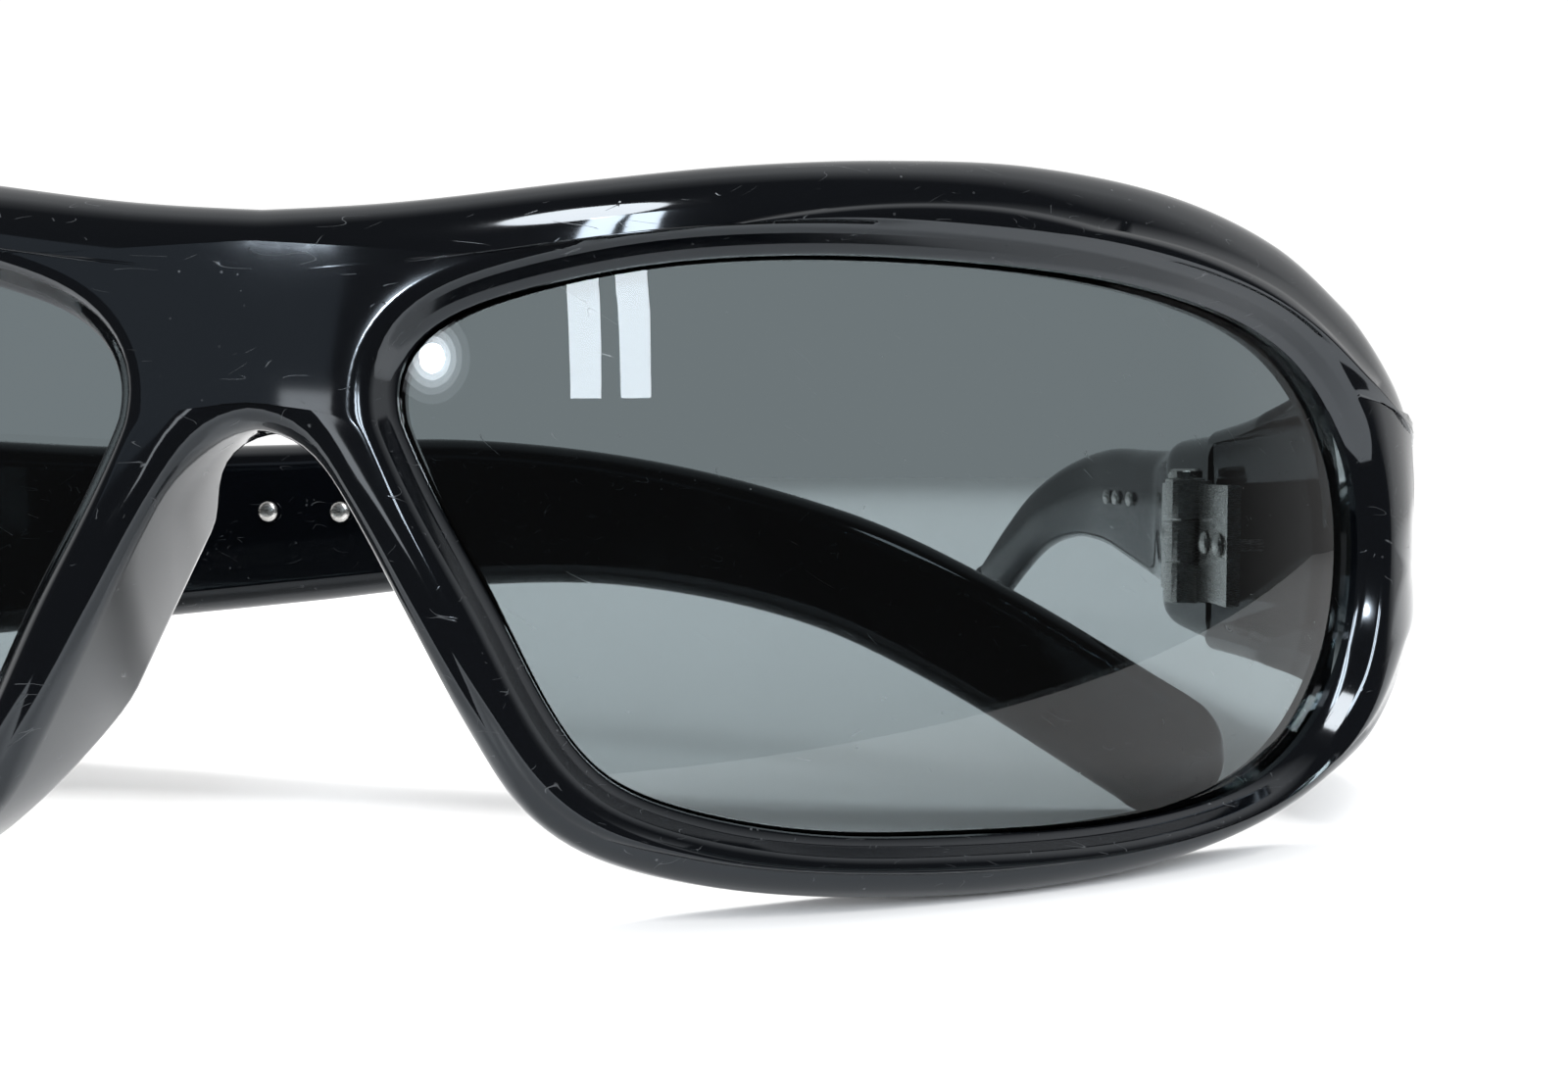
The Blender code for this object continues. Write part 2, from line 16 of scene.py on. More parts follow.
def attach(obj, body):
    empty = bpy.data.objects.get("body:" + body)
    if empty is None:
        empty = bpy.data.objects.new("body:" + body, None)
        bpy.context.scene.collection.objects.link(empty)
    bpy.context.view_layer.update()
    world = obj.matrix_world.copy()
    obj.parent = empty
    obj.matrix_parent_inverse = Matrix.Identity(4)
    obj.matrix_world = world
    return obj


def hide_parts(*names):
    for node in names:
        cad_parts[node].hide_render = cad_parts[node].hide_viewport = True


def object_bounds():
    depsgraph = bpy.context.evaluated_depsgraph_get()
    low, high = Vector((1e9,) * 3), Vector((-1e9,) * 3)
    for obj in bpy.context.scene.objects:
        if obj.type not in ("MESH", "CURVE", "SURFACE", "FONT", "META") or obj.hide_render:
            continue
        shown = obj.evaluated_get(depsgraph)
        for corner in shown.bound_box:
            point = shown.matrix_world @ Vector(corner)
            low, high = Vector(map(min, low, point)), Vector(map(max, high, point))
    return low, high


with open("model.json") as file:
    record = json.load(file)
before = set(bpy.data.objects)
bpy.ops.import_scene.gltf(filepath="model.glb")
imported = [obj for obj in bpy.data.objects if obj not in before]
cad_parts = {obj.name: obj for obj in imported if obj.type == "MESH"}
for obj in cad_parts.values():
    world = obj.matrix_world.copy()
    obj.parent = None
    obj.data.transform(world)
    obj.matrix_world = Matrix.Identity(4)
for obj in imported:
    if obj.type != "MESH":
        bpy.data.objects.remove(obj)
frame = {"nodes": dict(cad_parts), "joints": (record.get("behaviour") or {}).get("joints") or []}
cad_low, cad_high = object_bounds()

MM = 0.001

# Plan curve and stance, as in the CAD
WRAP_RADIUS = 112.0
WRAP_HALF_WIDTH = 65.0
SHOULDER_RADIUS = 17.0
LUG_ANGLE = math.radians(91.0)
BOW_RADIUS = 160.0
LEAN = math.radians(3.0)
HINGE = Vector((59.6, 45.7, -2.35))
BUTT_GAP = 0.4
FOLD = {"left": 0.0, "right": math.radians(99.0)}

# Section of the rim; the nose pad is slightly shallower than in the CAD
RIM_THICKNESS = 5.0
BRIDGE_THICKNESS = 5.6
ENDPIECE_THICKNESS = 10.4
PAD_DEPTH = 4.1
STEP_WIDTH = 1.45
LIP_DEPTH = 1.7
FACE_CROWN = 0.3
BROW_EDGE = 3.6
LOWER_EDGE = 1.6
NOSE_EDGE = 1.2
EDGE_DROP = 1.9
SHOULDER_EDGE = 4.4
SHOULDER_DROP = 2.4
BACK_RADIUS = 1.2
GROOVE_DEPTH = 1.2
GROOVE_FRONT = 2.15
GROOVE_BACK = 4.25
LENS_FRONT = 2.3
LENS_BACK = 4.1
LENS_GRIP = 0.9
LENS_CENTRE = (38.0, 8.0)

# Outlines of the left half as (distance from the nose along the face, height)
BROW_LINE = [
    (-4.0, 17.2), (0.0, 17.2), (7.4, 17.7), (17.1, 19.1), (25.3, 20.3), (34.0, 21.2),
    (43.7, 21.7), (54.0, 21.0), (62.6, 18.9), (69.0, 15.7), (74.5, 12.7), (81.0, 10.3),
    (88.0, 9.3), (102.0, 8.9),
]
LOWER_LINE = [
    (102.0, -8.9), (88.0, -9.1), (81.0, -9.7), (75.5, -11.2), (70.5, -13.7), (62.2, -17.1),
    (53.0, -19.2), (42.8, -20.0), (32.1, -19.6), (23.6, -18.5), (17.4, -16.6),
    (13.7, -13.9), (10.9, -9.6), (7.9, -3.9), (5.6, 0.5), (3.8, 3.4), (1.9, 5.1),
    (0.0, 5.7), (-2.0, 5.7), (-4.0, 5.7),
]
APERTURE_LINE = [
    (7.1, 7.7), (8.2, 10.4), (11.0, 12.3), (22.4, 15.0), (37.9, 15.8), (53.0, 14.9),
    (63.3, 12.0), (69.0, 6.2), (70.6, -0.5), (68.6, -8.6), (62.5, -14.4), (52.4, -16.6),
    (37.3, -16.6), (27.9, -15.8), (19.4, -13.4), (16.1, -10.5), (12.0, -2.9), (8.5, 3.6),
]
AROUND = 340
OUTLINE_STEP = 0.4
APERTURE_STEP = 0.3
APERTURE_PASSES = 6
NORMAL_PASSES = 16

# Arm, along its length from the hinge
ARM_SPINE = [
    (0.2, 0.0), (12.0, 0.0), (30.0, 0.4), (45.0, 1.3), (60.0, 2.3), (75.0, 1.6),
    (90.0, -1.6), (101.0, -6.4), (113.4, -13.55), (116.8, -15.57),
]
ARM_HALF_HEIGHT = [
    (0.0, 8.75), (12.0, 8.5), (30.0, 7.3), (45.0, 6.6), (60.0, 5.9), (75.0, 5.0),
    (90.0, 4.5), (104.0, 4.4), (124.0, 4.4),
]
ARM_INNER = [
    (0.0, 1.9), (11.0, 1.9), (18.0, 3.3), (26.0, 5.4), (36.0, 6.7), (60.0, 6.4),
    (90.0, 3.4), (124.0, -1.6),
]
ARM_OUTER = [
    (0.0, 12.3), (24.0, 12.3), (36.0, 11.7), (60.0, 10.3), (90.0, 7.0), (124.0, 1.6),
]
ARM_STATIONS = 120
ARM_CORNER = 2.2
TIP_STATIONS = 14
LEAF_NEAR = 0.6
RIVET_RADIUS = 0.45
RIVET_LENGTH = 3.4
RIVET_HEAD = 0.95
RIVET_PLACES = (3.7, 7.1)
STUD_PLACES = (44.0, 50.3, 54.6)
STUD_HEIGHT = 2.4
STUD_RADIUS = 0.55
STUD_LENGTH = 1.9
STUD_HEAD = 0.85
PIN_SIDES = 40
PIN_DOME_STEPS = 6
PIN_DOME_HEIGHT = 0.34
EASED_WIDTH = 0.09
SHARP_ANGLE = 38.0

# Materials
GLOSS_IOR = 1.53
# The arms' copy of the gloss black reflects less than the front's: painted shade for the shadowed
# floor their gloss shows
ARM_IOR = 1.40
GLOSS_TINT = (0.86, 0.93, 1.0, 1.0)
BLACK = (0.0012, 0.0015, 0.0022, 1.0)
WORN_BLACK = (0.10, 0.105, 0.11, 1.0)
LENS_TINT = (0.155, 0.184, 0.194, 1.0)
LENS_IOR = 1.36
STEEL_DARK = (0.50, 0.49, 0.47, 1.0)
STEEL_LIGHT = (0.72, 0.71, 0.69, 1.0)
STEEL_ROUGHNESS = 0.26
TABLE_COLOR = (0.96, 0.955, 0.95, 1.0)
TABLE_ROUGHNESS = 0.6

# Studio, in metres, but the camera's place, lens and sensor are in millimetres
TABLE_EDGE_Y = -0.108
TABLE_FAR_Y = 3.0
TABLE_HALF_WIDTH = 1.5
TABLE_DROP = 0.00005
COOL = (0.86, 0.93, 1.0)
LAMP_DISCS = ((0.06, 130.0), (0.09, 10.0), (0.12, 5.0), (0.15, 2.5), (0.19, 1.2))
WORLD_STRENGTH = 1.08
CAMERA_PLACE = (27.0, -71.0, 0.0)
CAMERA_LENS = 32.6
CAMERA_SENSOR = 36.0
CAMERA_CLIP = 0.005

LEFT_JOINT = next(j for j in frame["joints"] if j["name"] == "left_arm_fold")
ORIGIN = Vector(LEFT_JOINT["pos_m"]) - HINGE * MM


# ---------------------------------------------------------------- curves

def smooth_line(points, step):
    """An open curve through the points, resampled at about the given spacing."""
    padded = [points[0]] + list(points) + [points[-1]]
    dense = []
    for k in range(1, len(padded) - 2):
        before, start, end, after = (Vector(p) for p in padded[k - 1:k + 3])
        span = (end - start).length
        tangent_in = (end - before) * span / max((end - before).length, 1e-9)
        tangent_out = (after - start) * span / max((after - start).length, 1e-9)
        for j in range(24):
            t = j / 24
            dense.append(start * (2 * t**3 - 3 * t**2 + 1) + tangent_in * (t**3 - 2 * t**2 + t)
                         + end * (3 * t**2 - 2 * t**3) + tangent_out * (t**3 - t**2))
    dense.append(Vector(points[-1]))
    total = sum((b - a).length for a, b in zip(dense, dense[1:]))
    return even_points(dense, max(int(round(total / step)), 2))


def even_points(line, count):
    """The polyline resampled to count equal steps, ends included."""
    reach = [0.0]
    for a, b in zip(line, line[1:]):
        reach.append(reach[-1] + (b - a).length)
    result = []
    k = 0
    for j in range(count + 1):
        target = reach[-1] * j / count
        while k < len(line) - 2 and reach[k + 1] < target:
            k += 1
        share = (target - reach[k]) / max(reach[k + 1] - reach[k], 1e-9)
        result.append(line[k].lerp(line[k + 1], min(max(share, 0.0), 1.0)))
    return result


def soft_slope(before, after):
    """A slope between two spans that never overshoots a flat one."""
    if before * after <= 0.0:
        return 0.0
    return 2.0 * before * after / (before + after)


def value_at(points, x):
    """Smooth interpolation of a (position, value) list."""
    k = 0
    while k < len(points) - 2 and x > points[k + 1][0]:
        k += 1
    (x0, y0), (x1, y1) = points[k], points[k + 1]
    width = x1 - x0
    t = min(max((x - x0) / width, 0.0), 1.0)
    slope = (y1 - y0) / width
    slope_in = slope_out = slope
    if k > 0:
        slope_in = soft_slope((y0 - points[k - 1][1]) / (x0 - points[k - 1][0]), slope)
    if k + 2 < len(points):
        slope_out = soft_slope(slope, (points[k + 2][1] - y1) / (points[k + 2][0] - x1))
    return (y0 * (2 * t**3 - 3 * t**2 + 1) + slope_in * width * (t**3 - 2 * t**2 + t)
            + y1 * (3 * t**2 - 2 * t**3) + slope_out * width * (t**3 - t**2))


def ease(low, high, x):
    """A smooth step from 0 at low to 1 at high."""
    t = min(max((x - low) / (high - low), 0.0), 1.0)
    return t * t * (3.0 - 2.0 * t)


def smooth_loop(points, passes):
    """The closed polyline with its corners eased by repeated averaging."""
    for _ in range(passes):
        points = [(points[k - 1] + points[k] * 2.0 + points[(k + 1) % len(points)]) / 4.0
                  for k in range(len(points))]
    return points


def loop_normals(points):
    """Outward normals of a closed clockwise polyline."""
    normals = []
    for k in range(len(points)):
        along = points[(k + 1) % len(points)] - points[k - 1]
        normals.append(Vector((-along.y, along.x)).normalized())
    return normals


# ---------------------------------------------------------------- bent front face

def plan_point(s):
    """Plan position and heading of the face at the distance s from the nose."""
    side = -1.0 if s < 0.0 else 1.0
    s = abs(s)
    arc_end = math.asin(WRAP_HALF_WIDTH / WRAP_RADIUS)
    arc_length = WRAP_RADIUS * arc_end
    shoulder_length = SHOULDER_RADIUS * (LUG_ANGLE - arc_end)
    if s <= arc_length:
        angle = s / WRAP_RADIUS
        x = WRAP_RADIUS * math.sin(angle)
        y = WRAP_RADIUS * (1.0 - math.cos(angle))
        return side * x, y, side * angle
    angle = arc_end + min(s - arc_length, shoulder_length) / SHOULDER_RADIUS
    x = WRAP_HALF_WIDTH + SHOULDER_RADIUS * (math.sin(angle) - math.sin(arc_end))
    y = (WRAP_RADIUS * (1.0 - math.cos(arc_end))
         + SHOULDER_RADIUS * (math.cos(arc_end) - math.cos(angle)))
    straight = max(s - arc_length - shoulder_length, 0.0)
    x += straight * math.cos(angle)
    y += straight * math.sin(angle)
    return side * x, y, side * angle


def leaned(x, y, z):
    """A point of the upright front in the row frame, in metres."""
    return ORIGIN + Vector((x, y * math.cos(LEAN) + z * math.sin(LEAN),
                            z * math.cos(LEAN) - y * math.sin(LEAN))) * MM


def on_face(s, z, depth):
    """The point at a depth behind the bent face, in the row frame, in metres."""
    x, y, angle = plan_point(s)
    back = depth + z * z / (2.0 * BOW_RADIUS)
    return leaned(x - math.sin(angle) * back, y + math.cos(angle) * back, z)


def aperture_hit(loop, direction):
    """Where a ray from the lens centre meets the closed aperture line."""
    centre = Vector(LENS_CENTRE)
    for a, b in zip(loop, loop[1:] + loop[:1]):
        edge = b - a
        cross = direction.x * edge.y - direction.y * edge.x
        if abs(cross) < 1e-12:
            continue
        offset = a - centre
        reach = (offset.x * edge.y - offset.y * edge.x) / cross
        share = (offset.x * direction.y - offset.y * direction.x) / cross
        if reach > 0.0 and -1e-9 <= share <= 1.0 + 1e-9:
            return centre + direction * reach
    return centre


def rim_curves():
    """Aperture and outline, point for point, with the outward normal of each."""
    outline = even_points(smooth_line(BROW_LINE, OUTLINE_STEP)
                          + smooth_line(LOWER_LINE, OUTLINE_STEP)
                          + [Vector(BROW_LINE[0])], AROUND)[:-1]
    wrapped = APERTURE_LINE[-2:] + APERTURE_LINE + APERTURE_LINE[:3]
    line = smooth_line(wrapped, APERTURE_STEP)
    seam = Vector(APERTURE_LINE[0])
    half = len(line) // 2
    start = min(range(half), key=lambda k: (line[k] - seam).length)
    end = min(range(half, len(line)), key=lambda k: (line[k] - seam).length)
    loop = line[start:end]
    centre = Vector(LENS_CENTRE)
    aperture = [aperture_hit(loop, (outer - centre).normalized()) for outer in outline]
    aperture = smooth_loop(aperture, APERTURE_PASSES)
    outward = smooth_loop(loop_normals(outline), NORMAL_PASSES)
    return aperture, loop_normals(aperture), outline, outward


def thickness_at(s):
    """Front to back thickness of the rim: fuller at the bridge and at the endpiece."""
    bridge = (BRIDGE_THICKNESS - RIM_THICKNESS) * (1.0 - ease(4.0, 14.0, abs(s)))
    endpiece = (ENDPIECE_THICKNESS - RIM_THICKNESS) * ease(71.0, 86.0, s)
    return RIM_THICKNESS + bridge + endpiece


def pad_at(point):
    """Extra depth of the moulded nose pad at the rim's outer edge."""
    along_nose = 1.0 - ease(14.0, 19.0, point.x)
    up_nose = ease(-15.5, -8.0, point.y) * (1.0 - ease(0.5, 5.4, point.y))
    return PAD_DEPTH * along_nose * up_nose


def edge_width_at(point):
    """Width of the rounded outer edge, broad on the brow and slim under the lens."""
    brow = ease(2.0, 9.0, point.y)
    nose = (1.0 - ease(14.0, 22.0, point.x)) * (1.0 - brow)
    return BROW_EDGE * brow + NOSE_EDGE * nose + LOWER_EDGE * (1.0 - brow - nose)


def rim_ring(inner, inner_out, outer, outer_out):
    """Closed section of the rim as points in the row frame."""
    width = (outer - inner).length
    step = min(STEP_WIDTH, 0.40 * width)
    edge = min(edge_width_at(outer), 0.50 * width)
    shoulder = ease(66.0, 77.0, outer.x) * (1.0 - ease(86.0, 99.0, outer.x))
    edge += (min(SHOULDER_EDGE, 0.5 * width) - edge) * shoulder
    drop = min(EDGE_DROP + (SHOULDER_DROP - EDGE_DROP) * shoulder, edge)
    shelf = inner + inner_out * step
    brink = outer - outer_out * edge
    inner_back = thickness_at(inner.x)
    outer_back = thickness_at(outer.x) + pad_at(outer)
    crown = FACE_CROWN * ease(2.0, 14.0, outer.x)
    ring = []

    def add(point, depth):
        ring.append(on_face(point.x, point.y, depth))

    for share, depth in ((0.0, LIP_DEPTH), (0.08, LIP_DEPTH - 0.08), (0.35, 1.15), (0.62, 0.56),
                         (0.84, 0.17), (1.0, 0.04)):
        add(inner.lerp(shelf, share), depth)
    for j in range(1, 9):
        f = j / 9
        add(shelf.lerp(brink, f), -4.0 * crown * f * (1.0 - f))
    for j in range(9):
        turn = math.radians(90.0) * j / 8
        add(brink.lerp(outer, math.sin(turn)), drop * (1.0 - math.cos(turn)))
    back = min(BACK_RADIUS, 0.3 * width)
    for j in range(6):
        turn = math.radians(90.0) * j / 5
        add(outer - outer_out * back * (1.0 - math.cos(turn)),
            outer_back - BACK_RADIUS + BACK_RADIUS * math.sin(turn))
    heel = outer - outer_out * back
    for j in range(1, 7):
        f = j / 7
        depth = outer_back + (inner_back - outer_back) * ease(0.0, 0.85, f)
        add(heel.lerp(inner + inner_out * 0.3, f), depth)
    for reach, depth in ((0.3, inner_back), (0.08, inner_back - 0.1), (0.0, inner_back - 0.4),
                         (0.0, GROOVE_BACK), (GROOVE_DEPTH, GROOVE_BACK),
                         (GROOVE_DEPTH, GROOVE_FRONT), (0.0, GROOVE_FRONT)):
        add(inner + inner_out * reach, depth)
    return ring


# ---------------------------------------------------------------- mesh helpers

def skin(bm, rings, closed=True):
    """Quads between successive rings of vertices, each ring a closed loop."""
    following = rings[1:] + rings[:1] if closed else rings[1:]
    for ring, after in zip(rings, following):
        for k in range(len(ring)):
            nxt = (k + 1) % len(ring)
            bm.faces.new((ring[k], ring[nxt], after[nxt], after[k]))


def piece(name, bm, material, body, nodes):
    """Finishes a mesh and hands it to the frame in place of its CAD nodes."""
    bmesh.ops.recalc_face_normals(bm, faces=bm.faces)
    mesh = bpy.data.meshes.new(name)
    bm.to_mesh(mesh)
    bm.free()
    mesh.shade_smooth()
    mesh.set_sharp_from_angle(angle=math.radians(SHARP_ANGLE))
    mesh.materials.append(material)
    obj = bpy.data.objects.new(name, mesh)
    bpy.context.scene.collection.objects.link(obj)
    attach(obj, body)
    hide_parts(*nodes)
    return obj


# ---------------------------------------------------------------- materials

def nodes_of(name):
    """A new material with its node tree and its main shader."""
    material = bpy.data.materials.new(name)
    material.use_nodes = True
    tree = material.node_tree
    return material, tree, tree.nodes["Principled BSDF"]


def new(tree, kind, **settings):
    made = tree.nodes.new(kind)
    for key, value in settings.items():
        setattr(made, key, value)
    return made


def object_space(tree, scale):
    """Object coordinates stretched by a scale for each axis."""
    place = new(tree, "ShaderNodeTexCoord")
    mapping = new(tree, "ShaderNodeMapping")
    mapping.inputs["Scale"].default_value = scale
    tree.links.new(place.outputs["Object"], mapping.inputs["Vector"])
    return mapping.outputs["Vector"]


def noise(tree, vector, scale, detail=3.0, rough=0.5):
    made = new(tree, "ShaderNodeTexNoise")
    made.inputs["Scale"].default_value = scale
    made.inputs["Detail"].default_value = detail
    made.inputs["Roughness"].default_value = rough
    tree.links.new(vector, made.inputs["Vector"])
    return made.outputs["Fac"]


def ramp(tree, fac, low, high, dark=0.0, light=1.0):
    """A value that runs from dark to light as fac runs from low to high."""
    made = new(tree, "ShaderNodeMapRange")
    made.inputs["From Min"].default_value = low
    made.inputs["From Max"].default_value = high
    made.inputs["To Min"].default_value = dark
    made.inputs["To Max"].default_value = light
    tree.links.new(fac, made.inputs["Value"])
    return made.outputs["Result"]


def maths(tree, operation, a, b):
    made = new(tree, "ShaderNodeMath", operation=operation)
    for socket, value in zip(made.inputs, (a, b)):
        if isinstance(value, float):
            socket.default_value = value
        else:
            tree.links.new(value, socket)
    return made.outputs[0]


def scratches(tree, turn, spacing, length, keep):
    """Sparse hair scratches: the thin ridges of a noise drawn out along one direction."""
    place = new(tree, "ShaderNodeTexCoord")
    mapping = new(tree, "ShaderNodeMapping", vector_type="TEXTURE")
    mapping.inputs["Rotation"].default_value = turn
    mapping.inputs["Scale"].default_value = (length, spacing, spacing)
    tree.links.new(place.outputs["Object"], mapping.inputs["Vector"])
    lines = noise(tree, mapping.outputs["Vector"], 1.0, 0.0)
    ridge = maths(tree, "ABSOLUTE", maths(tree, "SUBTRACT", lines, 0.5), 0.0)
    thin = ramp(tree, ridge, 0.0, 0.009, 1.0, 0.0)
    where = ramp(tree, noise(tree, mapping.outputs["Vector"], 0.9, 1.0), keep, keep + 0.03)
    return maths(tree, "MULTIPLY", thin, where)


def specks(tree, scale, size):
    """Scattered dust motes."""
    cells = new(tree, "ShaderNodeTexVoronoi")
    cells.inputs["Scale"].default_value = scale
    place = new(tree, "ShaderNodeTexCoord")
    tree.links.new(place.outputs["Object"], cells.inputs["Vector"])
    dots = ramp(tree, cells.outputs["Distance"], size * 0.6, size, 1.0, 0.0)
    where = ramp(tree, noise(tree, place.outputs["Object"], 160.0, 2.0), 0.55, 0.65)
    return maths(tree, "MULTIPLY", dots, where)


def gloss_black(name, ior):
    """Polished blue-black nylon with hair scratches, dust and a faint orange-peel."""
    material, tree, shader = nodes_of(name)
    marks = maths(tree, "MAXIMUM", scratches(tree, (0.1, 0.12, 0.1), 0.0007, 0.004, 0.62),
                  scratches(tree, (0.2, -0.6, 0.2), 0.0006, 0.004, 0.66))
    dust = specks(tree, 1100.0, 0.10)
    worn = maths(tree, "MAXIMUM", marks, dust)
    tint = new(tree, "ShaderNodeMix", data_type="RGBA")
    tint.inputs["A"].default_value = BLACK
    tint.inputs["B"].default_value = WORN_BLACK
    tree.links.new(maths(tree, "MULTIPLY", worn, 0.5), tint.inputs["Factor"])
    tree.links.new(tint.outputs["Result"], shader.inputs["Base Color"])
    haze = noise(tree, object_space(tree, (1, 1, 1)), 90.0, 4.0, 0.6)
    base = ramp(tree, haze, 0.3, 0.7, 0.035, 0.10)
    tree.links.new(maths(tree, "ADD", base, maths(tree, "MULTIPLY", worn, 0.25)),
                   shader.inputs["Roughness"])
    bump = new(tree, "ShaderNodeBump")
    bump.inputs["Strength"].default_value = 0.10
    bump.inputs["Distance"].default_value = 0.00005
    peel = noise(tree, object_space(tree, (1, 1, 1)), 90.0, 1.0)
    tree.links.new(maths(tree, "ADD", maths(tree, "MULTIPLY", peel, 0.5), marks),
                   bump.inputs["Height"])
    tree.links.new(bump.outputs["Normal"], shader.inputs["Normal"])
    shader.inputs["IOR"].default_value = ior
    shader.inputs["Specular Tint"].default_value = GLOSS_TINT
    return material


def smoke_lens():
    """Smoke-grey tinted lens with a few hair scratches and scattered dust."""
    material, tree, shader = nodes_of("smoke_lens")
    shader.inputs["Base Color"].default_value = LENS_TINT
    shader.inputs["Transmission Weight"].default_value = 1.0
    shader.inputs["IOR"].default_value = LENS_IOR
    marks = maths(tree, "MAXIMUM", scratches(tree, (0.2, 0.6, 0.1), 0.0008, 0.006, 0.68),
                  specks(tree, 700.0, 0.07))
    tree.links.new(ramp(tree, marks, 0.0, 1.0, 0.0, 0.35), shader.inputs["Roughness"])
    return material


def steel():
    """Nickel-plated steel with a fine drawn grain."""
    material, tree, shader = nodes_of("nickel_steel")
    shader.inputs["Metallic"].default_value = 1.0
    grain = noise(tree, object_space(tree, (1.0, 1.0, 14.0)), 2200.0, 4.0)
    tone = new(tree, "ShaderNodeMix", data_type="RGBA")
    tone.inputs["A"].default_value = STEEL_DARK
    tone.inputs["B"].default_value = STEEL_LIGHT
    tree.links.new(grain, tone.inputs["Factor"])
    tree.links.new(tone.outputs["Result"], shader.inputs["Base Color"])
    tree.links.new(ramp(tree, grain, 0.2, 0.8, STEEL_ROUGHNESS - 0.08, STEEL_ROUGHNESS + 0.10),
                   shader.inputs["Roughness"])
    return material


# ---------------------------------------------------------------- pieces

def build_front(material):
    """The left half of the rim, cut square at the hinge and at the nose, then mirrored."""
    bm = bmesh.new()
    aperture, aperture_out, outline, outline_out = rim_curves()
    rings = [[bm.verts.new(point) for point in rim_ring(*station)]
             for station in zip(aperture, aperture_out, outline, outline_out)]
    skin(bm, rings)
    everything = bm.verts[:] + bm.edges[:] + bm.faces[:]
    butt = ORIGIN.y + (HINGE.y - BUTT_GAP / 2) * MM
    cut = bmesh.ops.bisect_plane(bm, geom=everything, plane_co=(0, butt, 0), plane_no=(0, 1, 0),
                                 dist=1e-8, clear_outer=True)
    rim = [item for item in cut["geom_cut"] if isinstance(item, bmesh.types.BMEdge)]
    bmesh.ops.contextual_create(bm, geom=rim)
    everything = bm.verts[:] + bm.edges[:] + bm.faces[:]
    bmesh.ops.bisect_plane(bm, geom=everything, plane_co=(0, 0, 0), plane_no=(1, 0, 0),
                           dist=1e-8, clear_inner=True)
    for vert in bm.verts:
        if abs(vert.co.x) < 1e-6:
            vert.co.x = 0.0
    bmesh.ops.mirror(bm, geom=bm.verts[:] + bm.edges[:] + bm.faces[:], matrix=Matrix.Identity(4),
                     merge_dist=1e-6, axis="X")
    return piece("front", bm, material, "front", ["front_frame"])


def build_lens(side, material):
    """A bent sheet that fills the aperture and grips the groove."""
    bm = bmesh.new()
    sign = -1.0 if side == "right" else 1.0
    centre = Vector(LENS_CENTRE)
    aperture, outward = rim_curves()[:2]
    edges = [point + normal * LENS_GRIP for point, normal in zip(aperture, outward)]

    def spot(point, depth):
        placed = on_face(point.x, point.y, depth)
        return bm.verts.new(Vector((sign * placed.x, placed.y, placed.z)))

    rims = []
    shares = [0.08, 0.2, 0.32, 0.44, 0.56, 0.67, 0.78, 0.88, 0.95, 1.0]
    for depth in (LENS_FRONT, LENS_BACK):
        rings = [[spot(centre.lerp(edge, share), depth) for edge in edges] for share in shares]
        hub = spot(centre, depth)
        for k in range(len(edges)):
            bm.faces.new((hub, rings[0][k], rings[0][(k + 1) % len(edges)]))
        skin(bm, rings, closed=False)
        rims.append(rings[-1])
    skin(bm, rims, closed=False)
    return piece(f"{side}_lens", bm, material, "front", [f"lens_{side}"])


def arm_section(half_height, inner, outer):
    """Rounded rectangle as (outward, upward) pairs about the spine."""
    corner = min(ARM_CORNER, 0.48 * (outer - inner), 0.48 * half_height)
    middle, half_width = (inner + outer) / 2, (outer - inner) / 2
    pairs = []
    for quarter in range(4):
        side = 1.0 if quarter in (0, 3) else -1.0
        rise = 1.0 if quarter in (0, 1) else -1.0
        for j in range(9):
            angle = math.radians(quarter * 90 + j * 90 / 8)
            pairs.append((middle + side * (half_width - corner) + corner * math.cos(angle),
                          rise * (half_height - corner) + corner * math.sin(angle)))
        if quarter in (0, 2):
            flat = half_width - corner
            for f in (0.66, 0.33, 0.0, -0.33, -0.66):
                pairs.append((middle + side * flat * f, rise * half_height))
    return pairs


def arm_stations():
    """(spine point, heading, reach along the arm, shrink) down to the rounded tip."""
    spine = even_points(smooth_line(ARM_SPINE, 0.5), ARM_STATIONS)
    length = sum((b - a).length for a, b in zip(spine, spine[1:]))
    stations = []
    for k, point in enumerate(spine[:-1]):
        ahead = spine[k + 1] - spine[max(k - 1, 0)]
        heading = Vector((1.0, 0.0)) if k == 0 else ahead.normalized()
        stations.append((point, heading, length * k / ARM_STATIONS, 1.0))
    heading = (spine[-1] - spine[-2]).normalized()
    round_end = value_at(ARM_HALF_HEIGHT, length)
    start = spine[-1] - heading * (round_end * 0.72)
    stations = [station for station in stations
                if (station[0] - start).dot(heading) < -0.3 or station[2] < length / 2]
    for k in range(TIP_STATIONS + 1):
        angle = math.radians(88.0) * k / TIP_STATIONS
        stations.append((start + heading * round_end * 0.95 * math.sin(angle), heading, length,
                         math.cos(angle)))
    return stations


def hinge_place(side):
    """Turns points of an open arm's frame (outward, along, up) into the row frame at rest."""
    sign = -1.0 if side == "right" else 1.0
    axis = ORIGIN + Vector((sign * HINGE.x, HINGE.y, HINGE.z)) * MM
    return Matrix.Translation(axis) @ Matrix.Rotation(sign * FOLD[side], 4, "Z"), sign


